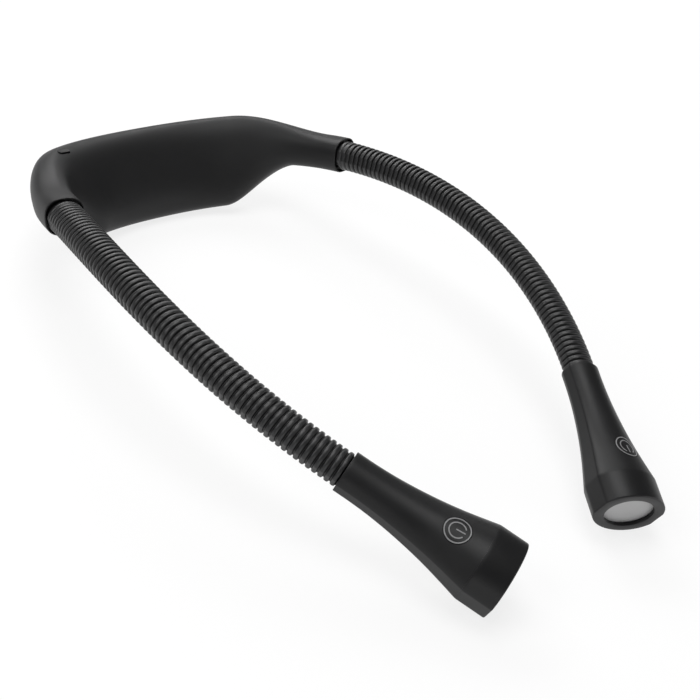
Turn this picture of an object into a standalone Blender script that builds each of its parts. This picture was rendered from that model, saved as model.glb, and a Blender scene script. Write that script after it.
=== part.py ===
"""Neck reading light: a curved battery housing and two bendable arms with a lamp head each.

It lies on a table with Z up. The wearer faces -Y, so the wearer's right arm lies at -X.
"""
import math

import bmesh
import bpy
from mathutils import Matrix, Vector

# Shared clearances
seat_gap = 0.0003
cut_overrun = 0.002
merge_distance = 0.000005

# Path of an arm, from the housing's socket to the head's collar
socket_half_span = 0.07473
socket_back = 0.08021
socket_height = 0.03904
socket_toe_angle = math.radians(-14.03)
socket_dip_angle = math.radians(-12.84)
socket_reach = 0.0612
collar_half_span = 0.06304
collar_front = 0.08388
collar_height = 0.02868
head_toe_angle = math.radians(27.13)
head_dip_angle = math.radians(14.86)
collar_reach = 0.0608
socket_roll_angle = math.radians(14.8)
head_roll_angle = math.radians(18.3)

# Ribbed sleeve: half width and half height over the ribs
sleeve_socket_wide = 0.0076
sleeve_socket_tall = 0.0067
sleeve_head_wide = 0.00695
sleeve_head_tall = 0.0057
flat_side_share = 0.951
rib_depth = 0.0005
end_link_ribs = 6
middle_link_ribs = 10
middle_link_count = 5
sleeve_in_socket = 0.008
sleeve_in_head = 0.005
sleeve_sides = 10

# Bendable core
core_radius = 0.0034
core_neck_radius = 0.0012
core_ball_radius = 0.0022
core_neck_length = 0.0012
core_in_anchor = 0.0003
core_sides = 8
anchor_length = 0.0067

# Battery housing
back_reach = 0.13399
back_height = 0.02074
socket_handle = 0.0217
back_handle = 0.05954
housing_tilt_angle = math.radians(17.05)
housing_lean_angle = math.radians(25.1)
socket_half_thickness = 0.00825
back_half_thickness = 0.009
socket_half_height = 0.00786
back_upper_height = 0.01613
back_lower_height = 0.02618
housing_wall = 0.0015
table_cut_depth = 0.004
socket_wall_depth = 0.0135
housing_sides = 20
housing_stations = 15
corner_exponent = 2.6

# Places along half the housing, as shares of its length from the socket
lean_end_share = 0.6
thickness_start_share = 0.1
thickness_end_share = 0.8
upper_start_share = 0.098
upper_end_share = 0.546
lower_start_share = 0.252
lower_end_share = 0.625
indicator_share = 0.515

# Back cover and its screws
cover_upper_border = 0.0032
cover_lower_border = 0.0065
cover_depth_share = 0.4
cover_end_margin = 0.0052
screw_battery_gap = 0.0013
screw_head_radius = 0.002
screw_head_height = 0.0007
screw_shank_radius = 0.0009
screw_length = 0.006
boss_radius = 0.0026
screw_sides = 16

# Battery, charging board, socket and indicator
battery_length = 0.046
battery_height = 0.022
battery_thickness = 0.008
battery_edge = 0.0012
battery_past_middle = 0.0095
battery_offset = battery_length / 2 - battery_past_middle
screw_offset = battery_offset + battery_length / 2 + boss_radius + screw_battery_gap
cover_half_length = screw_offset + cover_end_margin
board_length = 0.022
board_depth = 0.0115
board_thickness = 0.001
board_battery_gap = 0.004
board_offset = battery_past_middle + board_battery_gap + board_length / 2
board_drop = 0.008
port_width = 0.009
port_height = 0.0032
port_depth = 0.0075
port_wall = 0.0004
port_mouth_depth = 0.0062
indicator_angle = math.radians(129.0)
indicator_turn = math.radians(15.0)
indicator_length = 0.0076
indicator_width = 0.0027
indicator_depth = 0.003
indicator_sides = 16

# Lamp head
head_length = 0.0659
head_wide = 0.0155
head_tall = 0.01175
head_wall = 0.0013
head_sides = 20
crease_share = 0.8
flare_length_shares = (0.0, 0.1, 0.2, 0.3, 0.4, 0.5, 0.6, 0.7, 0.8)
flare_wide_shares = (0.525, 0.525, 0.54, 0.574, 0.625, 0.69, 0.77, 0.868, 0.975)
flare_tall_shares = (0.565, 0.565, 0.578, 0.607, 0.65, 0.705, 0.78, 0.873, 0.975)
cap_step_share = 0.85
cap_lip_length = 0.003
cap_lip_wall = 0.0009
cap_front_wall = 0.0015
lamp_hole_wide = 0.0105
lamp_hole_tall = 0.0084
collar_seat_length = 0.0123

# Lens, reflector and light source
lens_rim = 0.0007
lens_wide = lamp_hole_wide + lens_rim
lens_tall = lamp_hole_tall + lens_rim
lens_thickness = 0.002
lens_crown = 0.0004
reflector_wall = 0.0008
reflector_depth = 0.0092
reflector_throat = 0.0022
reflector_wide = lens_wide - seat_gap
reflector_tall = lens_tall - seat_gap
led_board_radius = 0.0085
led_board_thickness = 0.001
led_size = 0.003
led_height = 0.0007
turned_sides = 20

# Power button and its switch
button_to_crease = 0.0107
button_place = crease_share * head_length - button_to_crease
button_radius = 0.005
button_flange_radius = 0.0062
button_flange_height = 0.0007
button_flange_drop = 0.0031
button_travel = 0.0005
button_spare_gap = 0.0001
switch_size = 0.0045
switch_height = 0.001
switch_board_length = 0.009
switch_board_width = 0.0158
switch_board_thickness = 0.001
button_sides = 24


def clear_scene():
    for item in list(bpy.data.objects):
        bpy.data.objects.remove(item, do_unlink=True)


clear_scene()
parts = bpy.data.collections.new("neck_reading_light")
cutters = bpy.data.collections.new("cutters")
bpy.context.scene.collection.children.link(parts)
bpy.context.scene.collection.children.link(cutters)


def look(name, colour, roughness, metallic=0.0):
    material = bpy.data.materials.new(name)
    material.use_nodes = True
    shader = material.node_tree.nodes["Principled BSDF"]
    shader.inputs["Base Color"].default_value = (*colour, 1.0)
    shader.inputs["Roughness"].default_value = roughness
    shader.inputs["Metallic"].default_value = metallic
    material.diffuse_color = (*colour, 1.0)
    return material


soft_black = (0.028, 0.028, 0.029)
rib_grey = (0.075, 0.075, 0.077)
satin_black = (0.034, 0.034, 0.036)
mark_grey = (0.05, 0.05, 0.052)
frosted = (0.42, 0.42, 0.42)
white_plastic = (0.8, 0.8, 0.79)
board_green = (0.02, 0.12, 0.05)
led_yellow = (0.85, 0.7, 0.25)
steel = (0.55, 0.56, 0.57)
aluminium = (0.62, 0.63, 0.64)
battery_blue = (0.06, 0.13, 0.32)
smoked_grey = (0.03, 0.03, 0.032)


# Curves in space
def bezier_point(points, t):
    a, b, c, d = points
    r = 1 - t
    return a * r ** 3 + b * (3 * r * r * t) + c * (3 * r * t * t) + d * t ** 3


def bezier_tangent(points, t):
    a, b, c, d = points
    r = 1 - t
    return ((b - a) * (r * r) + (c - b) * (2 * r * t) + (d - c) * (t * t)).normalized()


def measured(points, steps=240):
    lengths = [0.0]
    last = bezier_point(points, 0)
    for i in range(1, steps + 1):
        here = bezier_point(points, i / steps)
        lengths.append(lengths[-1] + (here - last).length)
        last = here
    return lengths


def parameter_at(lengths, distance):
    steps = len(lengths) - 1
    for i in range(steps):
        if lengths[i + 1] >= distance:
            part = (distance - lengths[i]) / (lengths[i + 1] - lengths[i])
            return (i + part) / steps
    return 1.0


def heading(toe, dip):
    return Vector((math.sin(toe) * math.cos(dip), -math.cos(toe) * math.cos(dip), -math.sin(dip)))


def mix(a, b, t):
    return a + (b - a) * t


def ease(x, start, end):
    t = min(max((x - start) / (end - start), 0.0), 1.0)
    return t * t * (3 - 2 * t)


socket_point = Vector((-socket_half_span, socket_back, socket_height))
socket_heading = heading(socket_toe_angle, socket_dip_angle)
collar_point = Vector((-collar_half_span, -collar_front, collar_height))
head_heading = heading(head_toe_angle, head_dip_angle)
arm_curve = (
    socket_point,
    socket_point + socket_heading * socket_reach,
    collar_point - head_heading * collar_reach,
    collar_point,
)
back_point = Vector((0.0, back_reach, back_height))
spine_curve = (
    socket_point,
    socket_point - socket_heading * socket_handle,
    back_point - Vector((back_handle, 0.0, 0.0)),
    back_point,
)
arm_lengths = measured(arm_curve)
arm_length = arm_lengths[-1]
spine_lengths = measured(spine_curve)
spine_length = spine_lengths[-1]
link_count = middle_link_count + 2
rib_count = 2 * end_link_ribs + middle_link_count * middle_link_ribs + link_count - 1
rib_pitch = arm_length / rib_count


def path_at(distance):
    """Point and heading on the right arm; negative distances lie in the housing."""
    if distance < 0:
        t = parameter_at(spine_lengths, -distance)
        return bezier_point(spine_curve, t), -bezier_tangent(spine_curve, t)
    if distance < arm_length:
        t = parameter_at(arm_lengths, distance)
        return bezier_point(arm_curve, t), bezier_tangent(arm_curve, t)
    return collar_point + head_heading * (distance - arm_length), head_heading


def arm_frame(distance):
    """Point, wide axis and face axis of the right arm's section."""
    point, ahead = path_at(distance)
    roll = mix(socket_roll_angle, head_roll_angle, min(max(distance / arm_length, 0.0), 1.0))
    outward = ahead.cross(Vector((0, 0, 1))).normalized()
    upward = outward.cross(ahead)
    face = upward * math.cos(roll) + outward * math.sin(roll)
    wide = outward * math.cos(roll) - upward * math.sin(roll)
    return point, wide, face


def oval_ring(distance, half_wide, half_tall, sides, turn=0.0):
    """Ring of an oval with two flat sides, square to the right arm."""
    point, wide, face = arm_frame(distance)
    flat = half_wide * flat_side_share
    ring = []
    for i in range(sides):
        angle = (i + turn) * 2 * math.pi / sides
        across = min(max(half_wide * math.cos(angle), -flat), flat)
        ring.append(point + wide * across + face * (half_tall * math.sin(angle)))
    return ring


def ellipse_ring(distance, half_wide, half_tall, sides, turn=0.0):
    point, wide, face = arm_frame(distance)
    ring = []
    for i in range(sides):
        angle = (i + turn) * 2 * math.pi / sides
        ring.append(point + wide * (half_wide * math.cos(angle)) + face * (half_tall * math.sin(angle)))
    return ring


def round_ring(distance, radius, sides, turn=0.0):
    return ellipse_ring(distance, radius, radius, sides, turn)


def sleeve_half_sizes(distance):
    t = min(max(distance / arm_length, 0.0), 1.0)
    return mix(sleeve_socket_wide, sleeve_head_wide, t), mix(sleeve_socket_tall, sleeve_head_tall, t)


def sleeve_ring(distance, shrink, sides=sleeve_sides, turn=0.5):
    wide, tall = sleeve_half_sizes(distance)
    return oval_ring(distance, wide - shrink, tall - shrink, sides, turn)


# Frame of the housing: share 0 at the right socket, 1 at the middle of the back
def housing_frame(share):
    t = parameter_at(spine_lengths, share * spine_length)
    point = bezier_point(spine_curve, t)
    along = bezier_tangent(spine_curve, t)
    tilted_up = Vector((0, math.sin(housing_tilt_angle), math.cos(housing_tilt_angle)))
    outward = tilted_up.cross(along).normalized()
    upward = along.cross(outward)
    lean = housing_lean_angle * ease(share, 0.0, lean_end_share)
    up = upward * math.cos(lean) + outward * math.sin(lean)
    out = outward * math.cos(lean) - upward * math.sin(lean)
    return point, along, out, up


def housing_half_sizes(share):
    thickness = mix(socket_half_thickness, back_half_thickness,
                    ease(share, thickness_start_share, thickness_end_share))
    upper = mix(socket_half_height, back_upper_height, ease(share, upper_start_share, upper_end_share))
    lower = mix(socket_half_height, back_lower_height, ease(share, lower_start_share, lower_end_share))
    return thickness, upper, lower


def housing_point(share, angle, inset):
    point, along, out, up = housing_frame(share)
    thickness, upper, lower = housing_half_sizes(share)
    power = 2 / corner_exponent
    c, s = math.cos(angle), math.sin(angle)
    across = (thickness - inset) * math.copysign(abs(c) ** power, c)
    height = (upper - inset) if s > 0 else (lower - inset)
    return point + out * across + up * (height * math.copysign(abs(s) ** power, s))


def housing_ring(share, inset):
    ring = []
    for i in range(housing_sides):
        ring.append(housing_point(share, i * 2 * math.pi / housing_sides, inset))
    return ring


def wall_inner_face(sizes, height):
    """Distance from the housing's middle to the inside of its wall, at a height on the section."""
    half = (sizes[1] if height > 0 else sizes[2]) - housing_wall
    flat = 1 - min(abs(height) / half, 1.0) ** corner_exponent
    return (sizes[0] - housing_wall) * flat ** (1 / corner_exponent)


def mirrored(ring):
    return [Vector((-p.x, p.y, p.z)) for p in ring]


def both_halves(rings):
    """Rings from the right socket to the middle, carried on to the left socket."""
    return rings + [mirrored(r) for r in reversed(rings[:-1])]


# Bodies from rings, and placing
def add_object(name, mesh, material=None, parent=None, origin=None, cutter=False):
    item = bpy.data.objects.new(name, mesh)
    (cutters if cutter else parts).objects.link(item)
    if cutter:
        item.hide_render = True
        item.display_type = "WIRE"
    if material:
        mesh.materials.append(material)
    if origin is not None:
        mesh.transform(Matrix.Translation(-origin))
        item.location = origin
    if parent is not None:
        item.parent = parent
        item.location = item.location - world_place(parent)
    return item


def world_place(item):
    place = item.location.copy()
    while item.parent is not None:
        item = item.parent
        place = place + item.location
    return place


def ring_mesh(name, rings, closed=False):
    """Closed body through rings with the same count of points; closed joins the last to the first."""
    body = bmesh.new()
    rows = [[body.verts.new(p) for p in ring] for ring in rings]
    count = len(rows[0])
    pairs = list(zip(rows, rows[1:]))
    if closed:
        pairs.append((rows[-1], rows[0]))
    for low, high in pairs:
        for i in range(count):
            j = (i + 1) % count
            body.faces.new((low[i], low[j], high[j], high[i]))
    if not closed:
        body.faces.new(rows[0])
        body.faces.new(rows[-1])
    return finish_mesh(name, body)


def finish_mesh(name, body):
    bmesh.ops.remove_doubles(body, verts=body.verts, dist=merge_distance)
    bmesh.ops.recalc_face_normals(body, faces=body.faces)
    mesh = bpy.data.meshes.new(name)
    body.to_mesh(mesh)
    body.free()
    mesh.shade_smooth()
    mesh.set_sharp_from_angle(angle=math.radians(35))
    return mesh


def placed(place, x_axis, y_axis, z_axis):
    matrix = Matrix((x_axis, y_axis, z_axis)).transposed().to_4x4()
    matrix.translation = place
    return matrix


def side_matrix(matrix, side):
    """The matrix on the right side, or mirrored to the left with its X axis turned back."""
    if side < 0:
        return matrix
    flip = Matrix.Diagonal((-1, 1, 1, 1))
    return flip @ matrix @ flip


def cylinder_mesh(name, radius, low, high, sides, top_radius=None):
    body = bmesh.new()
    bmesh.ops.create_cone(body, cap_ends=True, segments=sides, radius1=radius,
                          radius2=radius if top_radius is None else top_radius, depth=high - low)
    bmesh.ops.translate(body, verts=body.verts, vec=(0, 0, (low + high) / 2))
    return finish_mesh(name, body)


def box_mesh(name, low, high, edge=0.0):
    body = bmesh.new()
    bmesh.ops.create_cube(body, size=1)
    size = [h - l for l, h in zip(low, high)]
    middle = [(h + l) / 2 for l, h in zip(low, high)]
    bmesh.ops.scale(body, verts=body.verts, vec=size)
    bmesh.ops.translate(body, verts=body.verts, vec=middle)
    if edge > 0:
        bmesh.ops.bevel(body, geom=body.edges[:], offset=edge, segments=2, affect="EDGES", profile=0.5)
    return finish_mesh(name, body)


def place_mesh(name, mesh, matrix, material=None, parent=None, origin=None, cutter=False):
    """Object whose mesh is set down by a matrix; its origin is the given point, or the matrix's."""
    turn = matrix.to_3x3().to_4x4()
    mesh.transform(turn)
    if turn.determinant() < 0:
        mesh.flip_normals()
    start = matrix.translation
    if origin is None:
        item = add_object(name, mesh, material, None, None, cutter)
        item.location = start
        if parent is not None:
            item.parent = parent
            item.location = start - world_place(parent)
        return item
    mesh.transform(Matrix.Translation(start))
    return add_object(name, mesh, material, parent, origin, cutter)


def turned(name, profile, matrix, material, parent, sides=turned_sides):
    """Round piece from a profile of (radius, height) down its outer side, by a Screw modifier."""
    mesh = bpy.data.meshes.new(name)
    points = [(r, 0.0, z) for r, z in profile]
    edges = [(i, i + 1) for i in range(len(points) - 1)]
    if profile[0][0] > 0:
        edges.append((len(points) - 1, 0))
    mesh.from_pydata(points, edges, [])
    item = bpy.data.objects.new(name, mesh)
    parts.objects.link(item)
    mesh.materials.append(material)
    item.matrix_world = matrix
    if parent is not None:
        item.parent = parent
        item.location = item.location - world_place(parent)
    screw = item.modifiers.new("turn", "SCREW")
    screw.steps = sides
    screw.render_steps = sides
    screw.use_merge_vertices = True
    screw.merge_threshold = merge_distance
    screw.use_smooth_shade = False
    return item


def cut(item, cutter, operation="DIFFERENCE"):
    modifier = item.modifiers.new(cutter.name, "BOOLEAN")
    modifier.operation = operation
    modifier.object = cutter
    modifier.solver = "EXACT"


# Housing shell, with a flat strip where it stands on the table
wall_share = socket_wall_depth / spine_length
outer_rings = both_halves([housing_ring(i / housing_stations, 0.0) for i in range(housing_stations + 1)])
cavity_rings = both_halves([
    housing_ring(mix(wall_share, 1.0, i / housing_stations), housing_wall)
    for i in range(housing_stations + 1)])
housing_shell = add_object("housing_shell", ring_mesh("housing_shell", outer_rings),
                           look("housing_soft_black", soft_black, 0.62))
cavity = add_object("housing_cavity", ring_mesh("housing_cavity", cavity_rings), cutter=True)
cut(housing_shell, cavity)
under_table = place_mesh("under_table",
                         box_mesh("under_table", (-socket_half_span, 0, -table_cut_depth),
                                  (socket_half_span, 2 * back_reach, 0)),
                         Matrix.Identity(4), cutter=True)
cut(housing_shell, under_table)

anchor_start = sleeve_in_socket + seat_gap
anchor_end = anchor_start + anchor_length
bore_steps = 4


def arm_bore_rings(start, end, shrink):
    return [sleeve_ring(mix(start, end, i / bore_steps), shrink) for i in range(bore_steps + 1)]


for side_name in ("right", "left"):
    rings = arm_bore_rings(cut_overrun, -(anchor_end + seat_gap), rib_depth - seat_gap)
    if side_name == "left":
        rings = [mirrored(r) for r in rings]
    bore = add_object(f"{side_name}_socket_bore", ring_mesh("socket_bore", rings), cutter=True)
    cut(housing_shell, bore)


# Back cover, cut from the same wall as the shell
def cover_rings(gap):
    rings = []
    start = 1 - (cover_half_length - gap) / spine_length
    for i in range(housing_stations + 1):
        share = mix(start, 1.0, i / housing_stations)
        point, along, out, up = housing_frame(share)
        thickness, upper, lower = housing_half_sizes(share)
        near = thickness * cover_depth_share
        far = thickness + cut_overrun
        top = upper - cover_upper_border - gap
        bottom = -(lower - cover_lower_border - gap)
        rings.append([point + out * n + up * k
                      for n, k in ((near, bottom), (far, bottom), (far, top), (near, top))])
    return both_halves(rings)


cover_opening = add_object("cover_opening", ring_mesh("cover_opening", cover_rings(0.0)), cutter=True)
cut(housing_shell, cover_opening)
cover_outline = add_object("cover_outline", ring_mesh("cover_outline", cover_rings(seat_gap)), cutter=True)
back_cover = add_object("back_cover", ring_mesh("back_cover", outer_rings),
                        look("cover_soft_black", soft_black, 0.62))
cut(back_cover, cavity)
cut(back_cover, cover_outline, "INTERSECT")


# Cover screws in their bosses
screw_steel = look("screw_steel", steel, 0.35, 1.0)
for side, side_name in ((-1, "right"), (1, "left")):
    screw_share = 1 - screw_offset / spine_length
    point, along, out, up = housing_frame(screw_share)
    thickness = housing_half_sizes(screw_share)[0]
    out_axis = Vector((out.x * -side, out.y, out.z))
    place = Vector((point.x * -side, point.y, point.z))
    up_axis = Vector((up.x * -side, up.y, up.z))
    stand = placed(place, up_axis, out_axis.cross(up_axis), out_axis)
    boss = place_mesh(f"{side_name}_boss",
                      cylinder_mesh("boss", boss_radius, -(thickness - housing_wall / 2),
                                    thickness - housing_wall - seat_gap, screw_sides),
                      stand, cutter=True)
    cut(housing_shell, boss, "UNION")
    shank_bottom = thickness - screw_head_height - screw_length
    hole = place_mesh(f"{side_name}_screw_hole",
                      cylinder_mesh("screw_hole", screw_shank_radius + seat_gap,
                                    shank_bottom - seat_gap, thickness + cut_overrun, screw_sides),
                      stand, cutter=True)
    cut(housing_shell, hole)
    cut(back_cover, hole)
    recess = place_mesh(f"{side_name}_screw_recess",
                        cylinder_mesh("screw_recess", screw_head_radius + seat_gap,
                                      thickness - screw_head_height - seat_gap,
                                      thickness + cut_overrun, screw_sides),
                        stand, cutter=True)
    cut(back_cover, recess)
    profile = ((0.0, thickness), (screw_head_radius, thickness),
               (screw_head_radius, thickness - screw_head_height),
               (screw_shank_radius, thickness - screw_head_height),
               (screw_shank_radius, shank_bottom), (0.0, shank_bottom))
    turned(f"{side_name}_cover_screw", profile, stand, screw_steel, None, screw_sides)


# Battery pack in the left half of the housing, against the neck-side wall
def inside_stand(offset, side):
    share = 1 - offset / spine_length
    point, along, out, up = housing_frame(share)
    flip = Vector((-side, 1, 1))
    place = point * flip
    out_axis = out * flip
    up_axis = up * flip
    return placed(place, out_axis.cross(up_axis), out_axis, up_axis), housing_half_sizes(share)


stand, sizes = inside_stand(battery_offset, 1)
battery_middle = (sizes[1] - sizes[2]) / 2
inner_face = seat_gap - min(wall_inner_face(sizes, battery_middle + battery_height / 2),
                            wall_inner_face(sizes, battery_middle - battery_height / 2))
place_mesh("battery_pack",
           box_mesh("battery_pack",
                    (-battery_length / 2, inner_face, battery_middle - battery_height / 2),
                    (battery_length / 2, inner_face + battery_thickness, battery_middle + battery_height / 2),
                    battery_edge),
           stand, look("battery_wrap", battery_blue, 0.4))

# Charging board with its socket in the right half
stand, sizes = inside_stand(board_offset, -1)
inner_face = seat_gap - wall_inner_face(sizes, -board_drop - board_thickness)
place_mesh("charging_board",
           box_mesh("charging_board",
                    (-board_length / 2, inner_face, -board_drop - board_thickness),
                    (board_length / 2, inner_face + board_depth, -board_drop)),
           stand, look("charging_board_green", board_green, 0.5))
port_back = sizes[0] - port_depth
port_low = -board_drop + seat_gap
usb_port = place_mesh("usb_c_socket",
                      box_mesh("usb_c_socket", (-port_width / 2, port_back, port_low),
                               (port_width / 2, sizes[0], port_low + port_height)),
                      stand.copy(), look("socket_steel", steel, 0.3, 1.0))
port_mouth = place_mesh("usb_c_mouth",
                        box_mesh("usb_c_mouth",
                                 (-port_width / 2 + port_wall, sizes[0] - port_mouth_depth,
                                  port_low + port_wall),
                                 (port_width / 2 - port_wall, sizes[0] + cut_overrun,
                                  port_low + port_height - port_wall)),
                        stand.copy(), cutter=True)
cut(usb_port, port_mouth)
port_window = place_mesh("usb_c_window",
                         box_mesh("usb_c_window",
                                  (-port_width / 2 - seat_gap, port_back - seat_gap, port_low - seat_gap),
                                  (port_width / 2 + seat_gap, sizes[0] + cut_overrun,
                                   port_low + port_height + seat_gap)),
                         stand.copy(), cutter=True)
cut(back_cover, port_window)

# Indicator: an oval light guide through the upper neck-side edge of the right half
spot = housing_point(indicator_share, indicator_angle, 0.0)
ahead = (housing_point(indicator_share + cut_overrun, indicator_angle, 0.0) - spot).normalized()
sideways = (housing_point(indicator_share, indicator_angle + math.radians(4), 0.0)
            - housing_point(indicator_share, indicator_angle - math.radians(4), 0.0)).normalized()
facing = sideways.cross(ahead).normalized()
if facing.z < 0:
    facing = -facing
long_way = ahead * math.cos(indicator_turn) - facing.cross(ahead) * math.sin(indicator_turn)
indicator_stand = placed(spot, long_way, facing.cross(long_way), facing)


def oval_pin_mesh(name, grow, low, high):
    straight = (indicator_length - indicator_width) / 2
    radius = indicator_width / 2 + grow
    rings = []
    for z in (low, high):
        ring = []
        for i in range(indicator_sides):
            angle = (i + 0.5) * 2 * math.pi / indicator_sides
            shift = math.copysign(straight, math.cos(angle))
            ring.append(Vector((shift + radius * math.cos(angle), radius * math.sin(angle), z)))
        rings.append(ring)
    return ring_mesh(name, rings)


indicator_hole = place_mesh("indicator_hole",
                            oval_pin_mesh("indicator_hole", seat_gap, -indicator_depth, cut_overrun),
                            indicator_stand.copy(), cutter=True)
cut(housing_shell, indicator_hole)
place_mesh("charge_indicator", oval_pin_mesh("charge_indicator", 0.0, -indicator_depth, 0.0),
           indicator_stand.copy(), look("indicator_smoked", smoked_grey, 0.2))

# Looks shared by both arms and heads
anchor_look = look("anchor_nylon", white_plastic, 0.5)
sleeve_look = look("sleeve_rubber", rib_grey, 0.7)
core_look = look("core_aluminium", aluminium, 0.4, 1.0)
head_look = look("head_satin_black", satin_black, 0.45)
cap_look = look("cap_satin_black", satin_black, 0.45)
lens_look = look("lens_frosted", frosted, 0.5)
reflector_look = look("reflector_white", white_plastic, 0.4)
led_board_look = look("led_board_white", white_plastic, 0.5)
led_look = look("led_yellow", led_yellow, 0.4)
switch_board_look = look("switch_board_green", board_green, 0.5)
switch_look = look("switch_black", soft_black, 0.5)
button_look = look("button_satin_black", mark_grey, 0.45)

first_hinge_rib = end_link_ribs
hinge_places = [(first_hinge_rib + i * (middle_link_ribs + 1) + 0.5) * rib_pitch
                for i in range(link_count - 1)]
cup_radius = core_ball_radius + seat_gap
cup_angles = (math.radians(14), math.radians(35), math.radians(57))
ball_place_shares = (-0.36, 0.36, 0.82)


def core_rings(start, end, cup, ball):
    """Rod with a cup round the last link's ball at its start and a ball at its end."""
    rows = []
    if cup:
        rows += [(start + cup_radius * math.cos(a), cup_radius * math.sin(a)) for a in cup_angles]
        rows.append((start + cup_radius * math.cos(cup_angles[-1]), core_radius))
    else:
        rows.append((start, core_radius))
    shoulder = end - core_ball_radius - core_neck_length if ball else end
    rows.append(((start + shoulder) / 2, core_radius))
    rows.append((shoulder, core_radius))
    if ball:
        neck_end = math.sqrt(core_ball_radius ** 2 - core_neck_radius ** 2)
        rows.append((shoulder + core_neck_length / 2, core_neck_radius))
        rows.append((end - neck_end, core_neck_radius))
        for share in ball_place_shares:
            rows.append((end + share * core_ball_radius, core_ball_radius * math.sqrt(1 - share * share)))
    return [round_ring(s, r, core_sides, 0.5) for s, r in rows]


def sleeve_rings(first_rib, ribs, start_plain, end_plain):
    """Ribbed outside and plain bore of one length of sleeve."""
    start = first_rib * rib_pitch
    end = (first_rib + ribs) * rib_pitch
    rings = []
    if start_plain:
        rings.append(sleeve_ring(start - start_plain, rib_depth))
    for i in range(ribs):
        rings.append(sleeve_ring(start + i * rib_pitch, rib_depth))
        rings.append(sleeve_ring(start + (i + 0.5) * rib_pitch, 0.0))
    rings.append(sleeve_ring(end, rib_depth))
    if end_plain:
        rings.append(sleeve_ring(end + end_plain, rib_depth))
    low = start - start_plain
    high = end + end_plain
    bore = 3
    for i in range(bore + 1):
        rings.append(round_ring(mix(high, low, i / bore), core_radius + seat_gap, sleeve_sides, 0.5))
    return rings


# Lamp head sections, measured from the collar
def head_half_sizes(place):
    share = place / head_length
    for i in range(len(flare_length_shares) - 1):
        low, high = flare_length_shares[i], flare_length_shares[i + 1]
        if share <= high:
            t = (share - low) / (high - low)
            return (head_wide * mix(flare_wide_shares[i], flare_wide_shares[i + 1], t),
                    head_tall * mix(flare_tall_shares[i], flare_tall_shares[i + 1], t))
    t = min((share - flare_length_shares[-1]) / (cap_step_share - flare_length_shares[-1]), 1.0)
    return (head_wide * mix(flare_wide_shares[-1], 1.0, t), head_tall * mix(flare_tall_shares[-1], 1.0, t))


def head_ring(place, inset):
    wide, tall = head_half_sizes(place)
    return oval_ring(arm_length + place, wide - inset, tall - inset, head_sides)


def collar_ring(place):
    wide, tall = sleeve_head_wide, sleeve_head_tall
    shrink = rib_depth - seat_gap
    return oval_ring(arm_length + place, wide - shrink, tall - shrink, head_sides)


crease = crease_share * head_length
cap_start = crease + seat_gap / 2
body_end = crease - seat_gap / 2
outer_places = [s * head_length for s in flare_length_shares[:-1]] + [body_end]
cavity_places = [s * head_length for s in flare_length_shares[:-1] if s * head_length > collar_seat_length]
cavity_places = cavity_places[1:] + [body_end]
lens_front = head_length - cap_front_wall - seat_gap
lens_back = lens_front - lens_thickness
reflector_front = lens_back - seat_gap
reflector_back = reflector_front - reflector_depth
led_board_front = reflector_back - seat_gap
cap_inset = head_wall + seat_gap

head_body_rings = [head_ring(p, 0.0) for p in outer_places]
head_body_rings += [head_ring(p, head_wall) for p in reversed(cavity_places)]
head_body_rings += [collar_ring(collar_seat_length), collar_ring(0.0)]
lamp_cap_rings = [
    head_ring(cap_start, 0.0),
    head_ring(cap_step_share * head_length, 0.0),
    head_ring(head_length, 0.0),
    ellipse_ring(arm_length + head_length, lamp_hole_wide, lamp_hole_tall, head_sides),
    ellipse_ring(arm_length + head_length - cap_front_wall, lamp_hole_wide, lamp_hole_tall, head_sides),
    head_ring(head_length - cap_front_wall, head_wall),
    head_ring(cap_start, cap_inset + cap_lip_wall),
    head_ring(body_end - cap_lip_length, cap_inset + cap_lip_wall),
    head_ring(body_end - cap_lip_length, cap_inset),
    head_ring(cap_start, cap_inset),
]

# Oval lens, and a reflector that goes from the lens's oval to a round throat
lens_rings = [ellipse_ring(arm_length + place, lens_wide - inset, lens_tall - inset, head_sides)
              for place, inset in ((lens_back, 0.0), (lens_front - lens_crown, 0.0), (lens_front, lens_crown))]
reflector_rings = [
    round_ring(arm_length + reflector_back, reflector_throat + reflector_wall, head_sides),
    ellipse_ring(arm_length + reflector_front, reflector_wide, reflector_tall, head_sides),
    ellipse_ring(arm_length + reflector_front, reflector_wide - reflector_wall,
                 reflector_tall - reflector_wall, head_sides),
    round_ring(arm_length + reflector_back, reflector_throat, head_sides),
]

# Button frame: square to the head's surface under the power mark
button_tall = head_half_sizes(button_place)[1]
probe = button_radius / 2
slope = (head_half_sizes(button_place + probe)[1] - head_half_sizes(button_place - probe)[1]) / (2 * probe)
tip_angle = math.atan(slope)
button_point, button_wide, button_face = arm_frame(arm_length + button_place)
button_up = button_face * math.cos(tip_angle) - head_heading * math.sin(tip_angle)
button_along = head_heading * math.cos(tip_angle) + button_face * math.sin(tip_angle)
button_spot = button_point + button_face * button_tall
button_stand = placed(button_spot, button_along, button_up.cross(button_along), button_up)
flange_top = -button_flange_drop
flange_bottom = flange_top - button_flange_height
switch_top = flange_bottom - button_travel - button_spare_gap
switch_bottom = switch_top - switch_height
switch_board_top = switch_bottom - seat_gap



def button_blank(name):
    """Stepped cylinder, taller than the button, about the button's own axis."""
    rings = []
    for radius, height in ((button_flange_radius, flange_bottom), (button_flange_radius, flange_top),
                           (button_radius, flange_top), (button_radius, cut_overrun)):
        ring = []
        for i in range(button_sides):
            angle = i * 2 * math.pi / button_sides
            ring.append(Vector((radius * math.cos(angle), radius * math.sin(angle), height)))
        rings.append(ring)
    return ring_mesh(name, rings)


lamp_point, lamp_wide, lamp_face = arm_frame(arm_length + head_length)
lamp_stand = placed(collar_point, lamp_wide, head_heading.cross(lamp_wide), head_heading)


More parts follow.
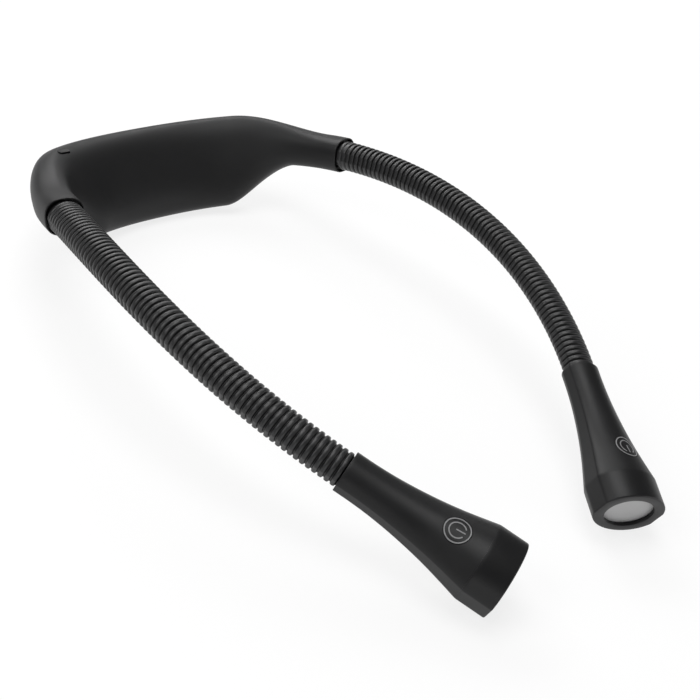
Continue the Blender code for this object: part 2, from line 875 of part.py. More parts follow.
def build_arm(side, side_name):
    def sided(rings):
        return rings if side < 0 else [mirrored(r) for r in rings]

    def stood(matrix):
        return side_matrix(matrix, side)

    parent = None
    origin = None
    for link in range(link_count):
        number = link + 1
        if link > 0:
            spot = arm_frame(hinge_places[link - 1])[0]
            origin = Vector((spot.x * -side, spot.y, spot.z))
            hinge = bpy.data.objects.new(f"{side_name}_hinge_{link}", None)
            parts.objects.link(hinge)
            hinge.empty_display_size = sleeve_socket_wide
            hinge.location = origin if parent is None else origin - world_place(parent)
            hinge.parent = parent
            parent = hinge
        first = 0 if link == 0 else end_link_ribs + 1 + (link - 1) * (middle_link_ribs + 1)
        last = link == link_count - 1
        ribs = end_link_ribs if link == 0 or last else middle_link_ribs
        rings = sleeve_rings(first, ribs, sleeve_in_socket if link == 0 else 0.0,
                             sleeve_in_head if last else 0.0)
        name = f"{side_name}_sleeve_{number}"
        add_object(name, ring_mesh(name, sided(rings), closed=True), sleeve_look, parent, origin)
        start = -(anchor_end + core_in_anchor) if link == 0 else hinge_places[link - 1]
        end = arm_length + collar_seat_length + core_in_anchor if last else hinge_places[link]
        name = f"{side_name}_core_{number}"
        add_object(name, ring_mesh(name, sided(core_rings(start, end, link > 0, not last))),
                   core_look, parent, origin)

    def anchor(name, start, end, holder, holder_origin):
        shell = [sleeve_ring(s, rib_depth) for s in (start, end)]
        bore = [round_ring(s, core_radius + seat_gap, sleeve_sides, 0.5) for s in (end, start)]
        add_object(name, ring_mesh(name, sided(shell + bore), closed=True), anchor_look,
                   holder, holder_origin)

    anchor(f"{side_name}_arm_anchor", -anchor_end, -anchor_start, None, None)
    anchor(f"{side_name}_head_anchor", arm_length + sleeve_in_head + seat_gap,
           arm_length + collar_seat_length - seat_gap, parent, origin)

    # Head body and lamp cap
    body = add_object(f"{side_name}_head_body",
                      ring_mesh("head_body", sided(head_body_rings), closed=True),
                      head_look, parent, origin)
    add_object(f"{side_name}_lamp_cap", ring_mesh("lamp_cap", sided(lamp_cap_rings), closed=True),
               cap_look, parent, origin)
    button_hole = place_mesh(f"{side_name}_button_hole",
                             cylinder_mesh("button_hole", button_radius + seat_gap,
                                           -button_flange_drop, cut_overrun, button_sides),
                             stood(button_stand), cutter=True)
    cut(body, button_hole)

    # Power button with its flange: its top is the head's own surface
    button = place_mesh(f"{side_name}_power_button", button_blank("power_button"),
                        stood(button_stand), button_look, parent)
    surface = add_object(f"{side_name}_head_surface",
                         ring_mesh("head_surface", sided([head_ring(p, 0.0) for p in outer_places])),
                         cutter=True)
    cut(button, surface, "INTERSECT")

    half = switch_size / 2
    place_mesh(f"{side_name}_push_switch",
               box_mesh("push_switch", (-half, -half, switch_bottom), (half, half, switch_top)),
               stood(button_stand), switch_look, parent)
    place_mesh(f"{side_name}_switch_board",
               box_mesh("switch_board",
                        (-switch_board_length / 2, -switch_board_width / 2,
                         switch_board_top - switch_board_thickness),
                        (switch_board_length / 2, switch_board_width / 2, switch_board_top)),
               stood(button_stand), switch_board_look, parent)

    # Light parts on the head's own axis
    add_object(f"{side_name}_lens", ring_mesh("lens", sided(lens_rings)), lens_look, parent, origin)
    add_object(f"{side_name}_reflector", ring_mesh("reflector", sided(reflector_rings), closed=True),
               reflector_look, parent, origin)
    turned(f"{side_name}_led_board",
           ((0.0, led_board_front), (led_board_radius, led_board_front),
            (led_board_radius, led_board_front - led_board_thickness),
            (0.0, led_board_front - led_board_thickness)),
           stood(lamp_stand), led_board_look, parent)
    half = led_size / 2
    place_mesh(f"{side_name}_led",
               box_mesh("led", (-half, -half, led_board_front + seat_gap),
                        (half, half, led_board_front + seat_gap + led_height)),
               stood(lamp_stand), led_look, parent)


build_arm(-1, "right")
build_arm(1, "left")
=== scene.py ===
import bmesh
import bpy
import math
from mathutils import Matrix, Vector


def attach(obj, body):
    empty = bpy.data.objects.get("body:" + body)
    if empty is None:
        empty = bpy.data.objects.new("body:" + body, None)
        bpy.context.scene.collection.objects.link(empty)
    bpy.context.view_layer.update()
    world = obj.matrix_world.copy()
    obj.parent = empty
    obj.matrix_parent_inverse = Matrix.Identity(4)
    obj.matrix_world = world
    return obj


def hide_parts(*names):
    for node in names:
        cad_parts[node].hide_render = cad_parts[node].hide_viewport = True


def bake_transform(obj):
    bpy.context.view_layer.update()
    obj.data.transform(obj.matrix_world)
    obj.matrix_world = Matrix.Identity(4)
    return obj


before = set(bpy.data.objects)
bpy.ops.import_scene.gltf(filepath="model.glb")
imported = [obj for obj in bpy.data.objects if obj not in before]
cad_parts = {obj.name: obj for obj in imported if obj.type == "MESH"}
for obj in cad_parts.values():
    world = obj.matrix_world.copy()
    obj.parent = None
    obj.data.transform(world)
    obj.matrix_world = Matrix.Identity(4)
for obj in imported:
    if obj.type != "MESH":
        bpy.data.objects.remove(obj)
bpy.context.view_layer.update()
print("frame loaded:", len(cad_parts), "CAD nodes")

mm = 0.001
tiny = 0.00001  # below this, a place counts as the same

# The right arm's path and section, with the same numbers as the CAD source
arm = {
    "socketPoint": (-0.07473, 0.08021, 0.03904), "socketToe": -14.03, "socketDip": -12.84, "socketReach": 0.0612,
    "collarPoint": (-0.06304, -0.08388, 0.02868), "headToe": 27.13, "headDip": 14.86, "collarReach": 0.0608,
    "socketRoll": 14.8, "headRoll": 18.3, "curveSteps": 240,
    "halfWide": (7.6 * mm, 6.95 * mm), "halfTall": (6.7 * mm, 5.7 * mm), "flatSides": 0.951,
    "ribs": 68, "plainDepth": 0.5 * mm,  # the sleeve's plain ends lie this far below its ribs
}

# The housing's curved spine and section, shares count from the socket to the middle of the back
housingShape = {
    "backPoint": (0.0, 0.13399, 0.02074), "socketHandle": 0.0217, "backHandle": 0.05954,
    "tilt": 17.05, "lean": 25.1, "leanEnd": 0.6,
    "halfThickness": (0.00825, 0.009), "thicknessShares": (0.1, 0.8),
    "upper": (0.00786, 0.01613), "upperShares": (0.098, 0.546),
    "lower": (0.00786, 0.02618), "lowerShares": (0.252, 0.625),
    "cornerExponent": 2.6,
}


# Curves in space
def bezierPoint(points, t):
    a, b, c, d = points
    r = 1 - t
    return a * r ** 3 + b * (3 * r * r * t) + c * (3 * r * t * t) + d * t ** 3


def bezierTangent(points, t):
    a, b, c, d = points
    r = 1 - t
    return ((b - a) * (r * r) + (c - b) * (2 * r * t) + (d - c) * (t * t)).normalized()


def measured(points):
    steps = arm["curveSteps"]
    lengths = [0.0]
    last = bezierPoint(points, 0)
    for i in range(1, steps + 1):
        here = bezierPoint(points, i / steps)
        lengths.append(lengths[-1] + (here - last).length)
        last = here
    return lengths


def parameterAt(lengths, distance):
    steps = len(lengths) - 1
    for i in range(steps):
        if lengths[i + 1] >= distance:
            return (i + (distance - lengths[i]) / (lengths[i + 1] - lengths[i])) / steps
    return 1.0


def heading(toe, dip):
    toe, dip = math.radians(toe), math.radians(dip)
    return Vector((math.sin(toe) * math.cos(dip), -math.cos(toe) * math.cos(dip), -math.sin(dip)))


def mix(a, b, t):
    return a + (b - a) * t


def ease(x, start, end):
    t = min(max((x - start) / (end - start), 0.0), 1.0)
    return t * t * (3 - 2 * t)


socketPoint = Vector(arm["socketPoint"])
socketHeading = heading(arm["socketToe"], arm["socketDip"])
collarPoint = Vector(arm["collarPoint"])
headHeading = heading(arm["headToe"], arm["headDip"])
armCurve = (socketPoint, socketPoint + socketHeading * arm["socketReach"],
            collarPoint - headHeading * arm["collarReach"], collarPoint)
backPoint = Vector(housingShape["backPoint"])
spineCurve = (socketPoint, socketPoint - socketHeading * housingShape["socketHandle"],
              backPoint - Vector((housingShape["backHandle"], 0, 0)), backPoint)
armLengths, spineLengths = measured(armCurve), measured(spineCurve)
armLength, spineLength = armLengths[-1], spineLengths[-1]


def pathAt(distance):
    if distance < 0:  # inside the housing
        t = parameterAt(spineLengths, -distance)
        return bezierPoint(spineCurve, t), -bezierTangent(spineCurve, t)
    if distance < armLength:
        t = parameterAt(armLengths, distance)
        return bezierPoint(armCurve, t), bezierTangent(armCurve, t)
    return collarPoint + headHeading * (distance - armLength), headHeading


def armFrame(distance):
    point, ahead = pathAt(distance)
    roll = math.radians(mix(arm["socketRoll"], arm["headRoll"], min(max(distance / armLength, 0), 1)))
    outward = ahead.cross(Vector((0, 0, 1))).normalized()
    upward = outward.cross(ahead)
    return (point, outward * math.cos(roll) - upward * math.sin(roll),
            upward * math.cos(roll) + outward * math.sin(roll))


def housingFrame(share):
    t = parameterAt(spineLengths, share * spineLength)
    point, along = bezierPoint(spineCurve, t), bezierTangent(spineCurve, t)
    tilt = math.radians(housingShape["tilt"])
    outward = Vector((0, math.sin(tilt), math.cos(tilt))).cross(along).normalized()
    upward = along.cross(outward)
    lean = math.radians(housingShape["lean"]) * ease(share, 0, housingShape["leanEnd"])
    return (point, along, outward * math.cos(lean) - upward * math.sin(lean),
            upward * math.cos(lean) + outward * math.sin(lean))


def housingHalfSizes(share):
    shape = housingShape
    return (mix(*shape["halfThickness"], ease(share, *shape["thicknessShares"])),
            mix(*shape["upper"], ease(share, *shape["upperShares"])),
            mix(*shape["lower"], ease(share, *shape["lowerShares"])))


def housingPoint(share, angle, inset):
    point, along, out, up = housingFrame(share)
    thickness, upper, lower = housingHalfSizes(share)
    power = 2 / housingShape["cornerExponent"]
    c, s = math.cos(angle), math.sin(angle)
    height = (upper if s > 0 else lower) - inset
    return (point + out * ((thickness - inset) * math.copysign(abs(c) ** power, c))
            + up * (height * math.copysign(abs(s) ** power, s)))


# Modelling by hand, as short steps
def only(piece):
    bpy.ops.object.select_all(action="DESELECT")
    piece.select_set(True)
    bpy.context.view_layer.objects.active = piece
    return piece


def started(name):
    piece = bpy.context.view_layer.objects.active
    piece.name = name
    piece.data.name = name
    return piece


def editing(piece, mode="VERT", whole=False):
    only(piece)
    bpy.ops.object.mode_set(mode="EDIT")
    bpy.ops.mesh.select_mode(type=mode)
    bpy.ops.mesh.select_all(action="SELECT" if whole else "DESELECT")
    return bmesh.from_edit_mesh(piece.data)


def done(piece):
    bpy.ops.object.mode_set(mode="OBJECT")
    return piece


def settled(piece):
    # Its place goes into its mesh
    bpy.ops.object.transform_apply(location=True, rotation=True, scale=True)
    return piece


def applied(piece, kind, **settings):
    only(piece)
    modifier = piece.modifiers.new(kind.lower(), kind)
    for key, value in settings.items():
        setattr(modifier, key, value)
    bpy.ops.object.modifier_apply(modifier=modifier.name)
    return piece


def carve(piece, tool, operation="DIFFERENCE", keep=False):
    applied(piece, "BOOLEAN", operation=operation, object=tool, solver="EXACT")
    if not keep:
        bpy.data.objects.remove(tool, do_unlink=True)
    return piece


def smooth(piece, angle=32):
    only(piece)
    bpy.ops.object.shade_smooth_by_angle(angle=math.radians(angle))
    return piece


def stand(piece, matrix):
    only(piece)
    piece.matrix_world = matrix
    return settled(piece)


def wrapped(name, rings, ends="cap"):
    # A grid goes round a row of rings: its X runs round them and its Y along them
    rows = rings + [rings[0]] if ends == "join" else rings
    around, along = len(rows[0]), len(rows) - 1
    bpy.ops.mesh.primitive_grid_add(x_subdivisions=around, y_subdivisions=along, size=1)
    piece = started(name)
    for vertex in piece.data.vertices:
        i, j = round((vertex.co.x + 0.5) * around), round((vertex.co.y + 0.5) * along)
        vertex.co = rows[j][i % around]
    editing(piece, whole=True)
    bpy.ops.mesh.remove_doubles(threshold=tiny / 10)
    if ends == "cap":
        bpy.ops.mesh.select_all(action="SELECT")
        bpy.ops.mesh.fill_holes(sides=0)
        bpy.ops.mesh.select_all(action="SELECT")
    bpy.ops.mesh.normals_make_consistent(inside=False)
    return done(piece)


def copied(piece, name):
    twin = piece.copy()
    twin.data = piece.data.copy()
    twin.name = twin.data.name = name
    bpy.context.scene.collection.objects.link(twin)
    return twin


def mirroredCopy(piece, name):
    twin = copied(piece, name)
    editing(twin, whole=True)
    bpy.ops.transform.resize(value=(-1, 1, 1), center_override=(0, 0, 0))
    bpy.ops.mesh.flip_normals()  # the copy has the same walls, so all of them turn round
    return done(twin)


def placed(place, xAxis, yAxis, zAxis):
    matrix = Matrix((xAxis, yAxis, zAxis)).transposed().to_4x4()
    matrix.translation = place
    return matrix


def disc(name, radius, low, high, sides=64):
    bpy.ops.mesh.primitive_cylinder_add(vertices=sides, radius=radius, depth=high - low,
                                        location=(0, 0, (low + high) / 2))
    return settled(started(name))


def box(name, middle, size, turn=0.0):
    bpy.ops.mesh.primitive_cube_add(size=1, location=middle, rotation=(0, 0, turn), scale=size)
    return settled(started(name))


def sharp(edge, angle):
    faces = edge.link_faces
    return len(faces) == 2 and faces[0].normal.angle(faces[1].normal) > angle


def roundedEnd(piece, height, size):
    # Rounds the edge of every flat end that lies at this height
    mesh = editing(piece, "EDGE")
    for edge in mesh.edges:
        edge.select_set(all(abs(v.co.z - height) < tiny for v in edge.verts) and sharp(edge, 0.8))
    mesh.select_flush(True)
    bpy.ops.mesh.bevel(offset=size, segments=3, affect="EDGES")
    return done(piece)


def pulledApart(piece, left, right):
    # The vertices on each side of X = 0 move along X
    for way, shift in ((-1, left), (1, right)):
        mesh = editing(piece)
        for vertex in mesh.verts:
            vertex.select_set(vertex.co.x * way > tiny)
        mesh.select_flush(True)
        bpy.ops.transform.translate(value=(shift, 0, 0))
        done(piece)
    return piece


# Materials
def colour(hexCode):
    # sRGB hex to the linear values that the shader reads
    values = [int(hexCode[i:i + 2], 16) / 255 for i in (1, 3, 5)]
    return tuple(v / 12.92 if v <= 0.04045 else ((v + 0.055) / 1.055) ** 2.4 for v in values) + (1.0,)


def addNode(tree, kind, links=(), **settings):
    node = tree.nodes.new(kind)
    for key, value in settings.items():
        setattr(node, key, value)
    for key, value in dict(links).items():
        if isinstance(value, bpy.types.NodeSocket):
            tree.links.new(value, node.inputs[key])
        else:
            node.inputs[key].default_value = value
    return node


def startMaterial(name, hexCode, roughness, metallic=0.0, ior=1.5, specular=0.5):
    material = bpy.data.materials.new(name)
    material.use_nodes = True
    tree = material.node_tree
    shader = tree.nodes["Principled BSDF"]
    shader.inputs["Base Color"].default_value = colour(hexCode)
    shader.inputs["Roughness"].default_value = roughness
    shader.inputs["Metallic"].default_value = metallic
    shader.inputs["IOR"].default_value = ior
    shader.inputs["Specular IOR Level"].default_value = specular
    return material, tree, shader


def grain(tree, shader, coordinates, size, depth):
    # Noise whose spots are about one size across, as a bump of a real depth
    noise = addNode(tree, "ShaderNodeTexNoise", {"Vector": coordinates, "Scale": 0.5 / size, "Detail": 2.0})
    bump = addNode(tree, "ShaderNodeBump", {"Height": noise.outputs["Fac"], "Distance": depth, "Strength": 1.0})
    tree.links.new(bump.outputs["Normal"], shader.inputs["Normal"])


def patchyGloss(tree, shader, coordinates, size, low, high):
    # Slow change of the roughness over the surface, between low and high
    noise = addNode(tree, "ShaderNodeTexNoise", {"Vector": coordinates, "Scale": 0.5 / size, "Detail": 3.0})
    spread = addNode(tree, "ShaderNodeMapRange", {"Value": noise.outputs["Fac"], "From Min": 0.35, "From Max": 0.65,
                                                  "To Min": low, "To Max": high})
    tree.links.new(spread.outputs["Result"], shader.inputs["Roughness"])


def twoToneAndPaintedShade(tree, shader, factor, hexCode, otherHex):
    # The second colour shows where the factor is 1: paler copper tracks on the boards, and painted shade in the
    # sleeve's grooves
    blend = addNode(tree, "ShaderNodeMix", {"Factor": factor, 6: colour(hexCode), 7: colour(otherHex)},
                    data_type="RGBA")
    tree.links.new(blend.outputs[2], shader.inputs["Base Color"])


def objectPlace(tree):
    return addNode(tree, "ShaderNodeTexCoord").outputs["Object"]


def softTouchShell():
    # Soft-touch paint on moulded ABS: a velvety, nearly matt black that takes a wide, dim highlight
    material, tree, shader = startMaterial("softTouchPaint", "#161617", 0.5, specular=0.32)
    place = objectPlace(tree)
    grain(tree, shader, place, 0.35 * mm, 0.012 * mm)  # the real grain is 0.1 mm, too fine to show
    patchyGloss(tree, shader, place, 14 * mm, 0.47, 0.54)
    return material


def satinShell():
    # Spark-eroded satin ABS: a dark grey-black with a tighter highlight than the housing
    material, tree, shader = startMaterial("satinAbs", "#141415", 0.42, specular=0.32)
    place = objectPlace(tree)
    grain(tree, shader, place, 0.3 * mm, 0.01 * mm)  # the real grain is 0.1 mm, too fine to show
    patchyGloss(tree, shader, place, 9 * mm, 0.39, 0.46)
    return material


def ribRubber():
    # Silicone rubber sleeve: charcoal with a dull sheen on its ribs; its grooves get painted shade, down to almost
    # black
    material, tree, shader = startMaterial("siliconeRubber", "#202021", 0.38, ior=1.43, specular=0.62)
    place = objectPlace(tree)
    # Painted shade: the groove shade attribute blends the rubber to near black in the grooves
    depth = addNode(tree, "ShaderNodeAttribute", attribute_name="paintedGrooveShade").outputs["Fac"]
    sunk = addNode(tree, "ShaderNodeMapRange", {"Value": depth, "From Min": 0.2, "From Max": 0.7})
    twoToneAndPaintedShade(tree, shader, sunk.outputs["Result"], "#202021", "#010101")
    grain(tree, shader, place, 0.3 * mm, 0.01 * mm)  # moulding texture, drawn coarse enough to show
    return material


def markInk():
    # Pad-printed grey ink, slightly proud and dull
    material, tree, shader = startMaterial("padPrintInk", "#838384", 0.5, ior=1.45)
    place = objectPlace(tree)
    grain(tree, shader, place, 0.25 * mm, 0.006 * mm)
    patchyGloss(tree, shader, place, 2 * mm, 0.45, 0.6)
    return material


def frostedLens():
    # Frosted polycarbonate diffuser: an even mid grey where no lamp is lit behind it
    material, tree, shader = startMaterial("frostedPolycarbonate", "#aaaaaa", 0.45, ior=1.58)
    place = objectPlace(tree)
    grain(tree, shader, place, 0.3 * mm, 0.01 * mm)
    patchyGloss(tree, shader, place, 5 * mm, 0.4, 0.5)
    return material


def smokedWindow():
    # Smoked polycarbonate light guide: satin and nearly black while the charging light is off
    material, tree, shader = startMaterial("smokedPolycarbonate", "#050505", 0.3, ior=1.58)
    patchyGloss(tree, shader, objectPlace(tree), 2 * mm, 0.26, 0.34)
    return material


def zincSteel():
    # Zinc-plated steel: cool grey, with fine turning marks
    material, tree, shader = startMaterial("zincPlatedSteel", "#8b8c8e", 0.34, metallic=1.0)
    place = objectPlace(tree)
    grain(tree, shader, place, 0.25 * mm, 0.006 * mm)
    patchyGloss(tree, shader, place, 1.5 * mm, 0.3, 0.42)
    return material


def stampedSteel():
    # Stamped stainless shell of the charging socket: brighter than the screws, faintly brushed
    material, tree, shader = startMaterial("stampedStainless", "#b4b5b7", 0.28, metallic=1.0)
    stretched = addNode(tree, "ShaderNodeMapping", {"Vector": objectPlace(tree), "Scale": (0.12, 1, 1)})
    grain(tree, shader, stretched.outputs["Vector"], 0.2 * mm, 0.004 * mm)
    return material


def blackNylon():
    # Glass-filled nylon tongue in the charging socket, dull black
    material, tree, shader = startMaterial("glassFilledNylon", "#1b1b1c", 0.55, ior=1.53)
    grain(tree, shader, objectPlace(tree), 0.2 * mm, 0.01 * mm)
    return material


def plainPlastic(name, hexCode, roughness, size, ior=1.5):
    material, tree, shader = startMaterial(name, hexCode, roughness, ior=ior)
    place = objectPlace(tree)
    grain(tree, shader, place, size, 0.01 * mm)
    patchyGloss(tree, shader, place, 6 * size, roughness - 0.05, roughness + 0.07)
    return material


def drawnAluminium():
    # Drawn aluminium core links: pale grey metal with fine marks along the arm
    material, tree, shader = startMaterial("drawnAluminium", "#a9abad", 0.38, metallic=1.0)
    stretched = addNode(tree, "ShaderNodeMapping", {"Vector": objectPlace(tree), "Scale": (1, 0.15, 1)})
    grain(tree, shader, stretched.outputs["Vector"], 0.3 * mm, 0.006 * mm)
    return material


def solderMask(name, hexCode, traceHex):
    # Solder mask over copper: glossy lacquer with paler tracks under it
    material, tree, shader = startMaterial(name, hexCode, 0.32, ior=1.55)
    place = objectPlace(tree)
    tracks = addNode(tree, "ShaderNodeTexVoronoi", {"Vector": place, "Scale": 0.5 / (1.2 * mm)},
                     distance="MANHATTAN", feature="DISTANCE_TO_EDGE")
    line = addNode(tree, "ShaderNodeMapRange", {"Value": tracks.outputs["Distance"], "From Min": 0.03,
                                                "From Max": 0.08, "To Min": 1.0, "To Max": 0.0})
    twoToneAndPaintedShade(tree, shader, line.outputs["Result"], hexCode, traceHex)
    grain(tree, shader, place, 0.3 * mm, 0.008 * mm)
    return material


def shrinkWrap():
    # Heat-shrunk PVC round the battery: glossy blue with soft wrinkles
    material, tree, shader = startMaterial("shrinkWrap", "#2c4a78", 0.25, ior=1.53)
    stretched = addNode(tree, "ShaderNodeMapping", {"Vector": objectPlace(tree), "Scale": (0.4, 1, 1)})
    grain(tree, shader, stretched.outputs["Vector"], 2.5 * mm, 0.12 * mm)
    return material


print("materials")
softTouch, satin, rubber, ink = softTouchShell(), satinShell(), ribRubber(), markInk()
lensLook, windowLook = frostedLens(), smokedWindow()
screwLook, socketLook = zincSteel(), stampedSteel()
tongueLook, coreLook = blackNylon(), drawnAluminium()
anchorLook = plainPlastic("naturalNylon", "#d6d4cc", 0.45, 0.4 * mm)  # creamy, faintly waxy
reflectorLook = plainPlastic("whiteAbsReflector", "#ececea", 0.22, 0.5 * mm)  # bright gloss white
ledBoardLook = solderMask("whiteSolderMask", "#e4e4e0", "#f2f2ee")
switchBoardLook = solderMask("greenSolderMask", "#1c5a35", "#2f7a4c")
ledLook = plainPlastic("phosphorSilicone", "#e6cf62", 0.35, 0.25 * mm, ior=1.42)  # matt yellow gel
switchLook = plainPlastic("blackPbt", "#202021", 0.5, 0.3 * mm)  # dull moulded black
batteryLook = shrinkWrap()


def dress(piece, material):
    piece.data.materials.clear()
    piece.data.materials.append(material)
    return piece


def dressNode(node, material):
    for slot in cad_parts[node].material_slots:
        slot.material = material


# Battery housing
print("battery housing")
housing = {
    "around": 64, "halfSteps": 78, "wall": 1.5 * mm, "rimRound": 0.3 * mm, "rimSteps": 5,
    "mouthWall": 0.42 * mm, "mouthDepth": 2.4 * mm, "mouthTaper": 0.1 * mm, "mouthAhead": 1 * mm,
    "boreGap": 0.15 * mm, "boreDepths": (7 * mm, 11 * mm, 15.3 * mm), "socketWallDepth": 13.5 * mm,
    "overcut": 2 * mm,  # cutting shapes reach this far past the surface
    "tableCut": ((0, 0.12, -0.005), (0.15, 0.06, 0.01)),  # middle and size
}
cover = {
    "halfLength": 45.6 * mm, "upperBorder": 3.2 * mm, "lowerBorder": 6.5 * mm, "depthShare": 0.4,
    "corner": 4 * mm, "cornerSteps": 8, "flatSteps": 40, "seam": 0.28 * mm,
}
ribPitch = armLength / arm["ribs"]


def flipped(ring):
    return [Vector((-p.x, p.y, p.z)) for p in ring]


def bothHalves(rings):
    return rings + [flipped(r) for r in reversed(rings[:-1])]


def housingRing(share, inset):
    around = housing["around"]
    return [housingPoint(share, i * 2 * math.pi / around, inset) for i in range(around)]


def housingRings(startDistance, inset, rimRound=0.0):
    rings = []
    for k in range(housing["rimSteps"] if rimRound else 0):
        turn = k / housing["rimSteps"] * math.pi / 2
        rings.append(housingRing((startDistance + rimRound * (1 - math.cos(turn))) / spineLength,
                                 inset + rimRound * (1 - math.sin(turn))))
    start = (startDistance + rimRound) / spineLength
    steps = housing["halfSteps"]
    rings += [housingRing(mix(start, 1.0, i / steps), inset) for i in range(steps + 1)]
    return bothHalves(rings)


# Angles round an oval, closer together where the flat sides meet the round faces
halfOval = [-15, -7.5, 0, 7.5, 15, 17.2, 18.9] + [24 + i * 8.25 for i in range(17)] + [161.1, 162.8]
ovalAngles = [math.radians(a + turned) for turned in (0, 180) for a in halfOval]


def ovalRing(distance, halfWide, halfTall):
    point, wide, face = armFrame(distance)
    flat = halfWide * arm["flatSides"]
    return [point + wide * min(max(halfWide * math.cos(a), -flat), flat) + face * (halfTall * math.sin(a))
            for a in ovalAngles]


def ellipseRing(distance, halfWide, halfTall):
    point, wide, face = armFrame(distance)
    return [point + wide * math.cos(a) * halfWide + face * math.sin(a) * halfTall for a in ovalAngles]


def roundRing(distance, radius):
    return ellipseRing(distance, radius, radius)


def sleeveRing(distance, shrink):
    t = min(max(distance / armLength, 0), 1)
    return ovalRing(distance, mix(*arm["halfWide"], t) - shrink, mix(*arm["halfTall"], t) - shrink)


outerBody = wrapped("housingOuter", housingRings(0, 0, housing["rimRound"]))
cavity = wrapped("housingCavity", housingRings(housing["socketWallDepth"], housing["wall"]))


def coverRings(grow):
    # Four-sided rings from one end of the cover to its middle, with round corners
    rings = []
    corner, bends, flats = cover["corner"], cover["cornerSteps"], cover["flatSteps"]
    start = cover["halfLength"] + grow
    steps = [corner * (1 - math.cos(k / bends * math.pi / 2)) for k in range(bends + 1)]
    steps += [corner + (start - corner) * i / flats for i in range(1, flats + 1)]
    for step in steps:
        share = 1 - (start - step) / spineLength
        point, along, out, up = housingFrame(share)
        thickness, upper, lower = housingHalfSizes(share)
        pulled = corner - math.sqrt(max(corner ** 2 - max(corner - step, 0) ** 2, 0))
        near, far = thickness * cover["depthShare"], thickness + housing["overcut"]
        top = upper - cover["upperBorder"] + grow - pulled
        bottom = -(lower - cover["lowerBorder"] + grow - pulled)
        rings.append([point + out * n + up * k
                      for n, k in ((near, bottom), (far, bottom), (far, top), (near, top))])
    return bothHalves(rings)


def mouthRings():
    # Outside the rim, down the thin lip, then in to the sleeve's own bore
    lip, depth = housing["mouthWall"], housing["mouthDepth"]

    def lipRing(distance, inset):
        return [housingPoint(distance / spineLength, a, inset) for a in ovalAngles]

    outside = [p + socketHeading * housing["mouthAhead"] for p in lipRing(0, lip)]
    bore = arm["plainDepth"] - housing["boreGap"]
    return [outside, lipRing(0, lip), lipRing(depth / 2, lip), lipRing(depth, lip + housing["mouthTaper"])] \
        + [sleeveRing(-d, bore) for d in (depth, *housing["boreDepths"])]


def finished(piece, look, body, node=None):
    # Its finish, the body it moves with, and the CAD node it stands for
    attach(dress(piece, look), body)
    if node:
        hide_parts(node)


shell = copied(outerBody, "housingShell")
carve(shell, cavity, keep=True)
carve(shell, wrapped("coverOpening", coverRings(0)))
backCover = copied(outerBody, "backCover")
carve(backCover, cavity)
carve(backCover, wrapped("coverOutline", coverRings(-cover["seam"])), "INTERSECT")
mouth = wrapped("socketMouth", mouthRings())
carve(shell, mirroredCopy(mouth, "leftMouth"))
carve(shell, mouth)


def housingStand(fromMiddle, side):
    # X along the housing, Y out of its back, Z up, and its half sizes there
    share = 1 - fromMiddle / spineLength
    point, along, out, up = housingFrame(share)
    flip = Vector((-side, 1, 1))
    outAxis, upAxis = out * flip, up * flip
    return placed(point * flip, outAxis.cross(upAxis), outAxis, upAxis), housingHalfSizes(share)


# Cover screws in their bosses
screw = {
    "fromMiddle": 40.4 * mm, "head": 2.0 * mm, "headHeight": 0.7 * mm, "headEdge": 0.28 * mm, "sunk": 0.12 * mm,
    "shank": 0.9 * mm, "length": 6 * mm, "point": 0.8 * mm, "pointShare": 0.25,
    "cross": (2.3 * mm, 0.5 * mm, 0.9 * mm), "crossTurn": 0.4, "gap": 0.25 * mm, "endGap": 0.3 * mm,
    "boss": 2.6 * mm, "bossInFront": 0.75 * mm, "bossInBack": 1.8 * mm, "seatDepth": 1.0 * mm,
}


def coverScrew(name, top):
    # Shank and point drawn out of the head, its edge rounded, then a cross cut into it
    piece = disc(name, screw["head"], top - screw["headHeight"], top, 40)
    mesh = editing(piece, "FACE")
    for face in mesh.faces:
        face.select_set(face.normal.z < -0.9)
    bpy.ops.mesh.inset(thickness=screw["head"] - screw["shank"], depth=0)
    for drawn in (screw["length"] - screw["point"], screw["point"]):
        bpy.ops.mesh.extrude_region_move(TRANSFORM_OT_translate={"value": (0, 0, -drawn)})
    bpy.ops.transform.resize(value=(screw["pointShare"], screw["pointShare"], 1))
    done(piece)
    roundedEnd(piece, top, screw["headEdge"])
    for turn in (0, math.pi / 2):
        carve(piece, box("crossSlot", (0, 0, top), screw["cross"], turn + screw["crossTurn"]))
    return smooth(piece)


for side, sideName in ((-1, "right"), (1, "left")):
    matrix, sizes = housingStand(screw["fromMiddle"], side)
    # The same place with Z out of the back and X up
    matrix = matrix @ Matrix(((0, 1, 0, 0), (0, 0, 1, 0), (1, 0, 0, 0), (0, 0, 0, 1)))
    surface, past = sizes[0], sizes[0] + housing["overcut"]
    carve(shell, stand(disc("boss", screw["boss"], screw["bossInFront"] - surface, surface - screw["bossInBack"], 40),
                       matrix), "UNION")
    top = surface - screw["sunk"]
    pointEnd = top - screw["headHeight"] - screw["length"]
    hole = stand(disc("screwHole", screw["shank"] + screw["gap"], pointEnd - screw["endGap"], past, 32), matrix)
    carve(shell, hole, keep=True)
    carve(backCover, hole)
    carve(backCover, stand(disc("screwSeat", screw["head"] + screw["gap"], surface - screw["seatDepth"], past, 40),
                           matrix))
    finished(stand(coverScrew(f"{sideName}CoverScrew", top), matrix), screwLook, "housing",
             f"{sideName}_cover_screw")


# Charging socket: a rolled steel shell with its tongue, in the right half of the back
port = {
    "fromMiddle": 24.5 * mm, "belowMiddle": 7.7 * mm, "width": 9.0 * mm, "height": 3.2 * mm, "depth": 7.5 * mm,
    "sunk": 0.1 * mm, "wall": 0.3 * mm, "mouthDepth": 6.2 * mm, "gap": 0.3 * mm, "gapBehind": 0.5 * mm,
    "tongue": (6.6 * mm, 5.4 * mm, 0.7 * mm), "tongueDepth": 3.4 * mm, "tongueEdge": 0.15 * mm,
}


